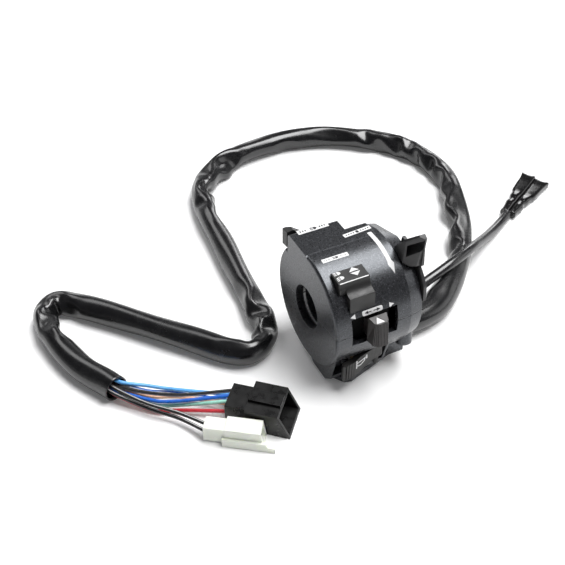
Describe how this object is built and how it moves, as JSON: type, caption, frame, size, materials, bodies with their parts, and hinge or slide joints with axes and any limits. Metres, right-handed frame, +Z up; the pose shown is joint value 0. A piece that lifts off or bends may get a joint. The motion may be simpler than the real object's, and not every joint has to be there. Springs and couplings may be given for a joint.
{
  "type": "motorbike handlebar switch cluster",
  "caption": "Split clamp-on switch housing for a left handlebar with lights, turn, horn, passing and choke controls, a sleeved wiring harness with plugs and a clutch switch lead.",
  "frame": {"origin": "on the handlebar axis, at the grip end face of the case", "axes": "+X runs along the handlebar from the grip end inboard, -Y faces the rider, +Z is up"},
  "size_m": [0.3201, 0.2301, 0.0762],
  "materials": {
    "case_paint": "satin dark charcoal paint with a fine sparkle",
    "knob_black": "fine-grained black moulding",
    "knob_grey": "dark grey moulding",
    "lever_black": "satin black paint",
    "brass": "dulled brass",
    "zinc_screw": "yellow zinc plate",
    "steel": "bright steel",
    "board_brown": "brown contact board",
    "rubber": "soft black rubber",
    "sleeve_pvc": "glossy black sleeving",
    "connector_black": "black moulding",
    "connector_white": "milky white moulding",
    "tin": "tinned",
    "wire_light_blue": "wire insulation",
    "wire_white_blue": "wire insulation",
    "wire_grey": "wire insulation",
    "wire_orange": "wire insulation",
    "wire_dark_blue": "wire insulation",
    "wire_mint": "wire insulation",
    "wire_red": "wire insulation",
    "wire_black_white": "black insulation with a white stripe"
  },
  "bodies": {
    "case": {"upper_case": "case_paint", "lower_case": "case_paint", "case_screws": "zinc_screw", "lights_contact_plate": "board_brown", "turn_contact_plate": "board_brown", "horn_pin": "steel", "horn_spring": "steel", "horn_contacts": "brass", "passing_pin": "steel", "passing_spring": "steel", "passing_contacts": "board_brown", "choke_spring_washer": "steel", "harness_grommet": "rubber", "harness_sleeve": "sleeve_pvc", "wire_light_blue": "wire_light_blue", "wire_white_blue": "wire_white_blue", "wire_grey": "wire_grey", "wire_orange": "wire_orange", "wire_dark_blue": "wire_dark_blue", "wire_mint": "wire_mint", "wire_red": "wire_red", "wire_black_white_a": "wire_black_white", "wire_black_white_b": "wire_black_white", "black_connector": "connector_black", "black_connector_blades": "tin", "white_connector": "connector_white", "white_connector_blades": "tin", "clutch_grommet": "rubber", "clutch_lead": "sleeve_pvc", "clutch_lead_boots": "rubber", "clutch_lead_terminals": "tin"},
    "lights_switch": {"lights_knob": "knob_black", "lights_carrier": "knob_black", "lights_bridge": "brass", "lights_detent_ball": "steel", "lights_detent_spring": "steel"},
    "turn_switch": {"turn_knob": "knob_black", "turn_slider": "knob_black", "turn_bridge": "brass", "turn_detent_ball": "steel", "turn_detent_spring": "steel"},
    "horn_button": {"horn_paddle": "knob_grey"},
    "passing_button": {"passing_trigger": "knob_black"},
    "choke": {"choke_lever": "lever_black"}
  },
  "joints": [
    {"name": "lights", "type": "hinge", "parent": "case", "child": "lights_switch", "pos_m": [0.013, 0, 0], "axis": [-1, 0, 0], "range_deg": [0, 10]},
    {"name": "turn", "type": "slide", "parent": "case", "child": "turn_switch", "axis": [1, 0, 0], "range_m": [-0.005, 0.005]},
    {"name": "horn", "type": "hinge", "parent": "case", "child": "horn_button", "pos_m": [0.0264, -0.023, -0.0195], "axis": [0, 0, -1], "range_deg": [0, 6], "stiffness_Nm_per_rad": 0.5, "springref_deg": -5.73, "deforming": ["horn_spring"]},
    {"name": "passing", "type": "hinge", "parent": "case", "child": "passing_button", "pos_m": [0.0216, 0.024, 0.0177], "axis": [0, 0, 1], "range_deg": [0, 4], "stiffness_Nm_per_rad": 0.5, "springref_deg": -5.73, "deforming": ["passing_spring"]},
    {"name": "choke_turn", "type": "hinge", "parent": "case", "child": "choke", "pos_m": [0.0477, 0, 0], "axis": [-1, 0, 0], "range_deg": [0, 38]}
  ]
}
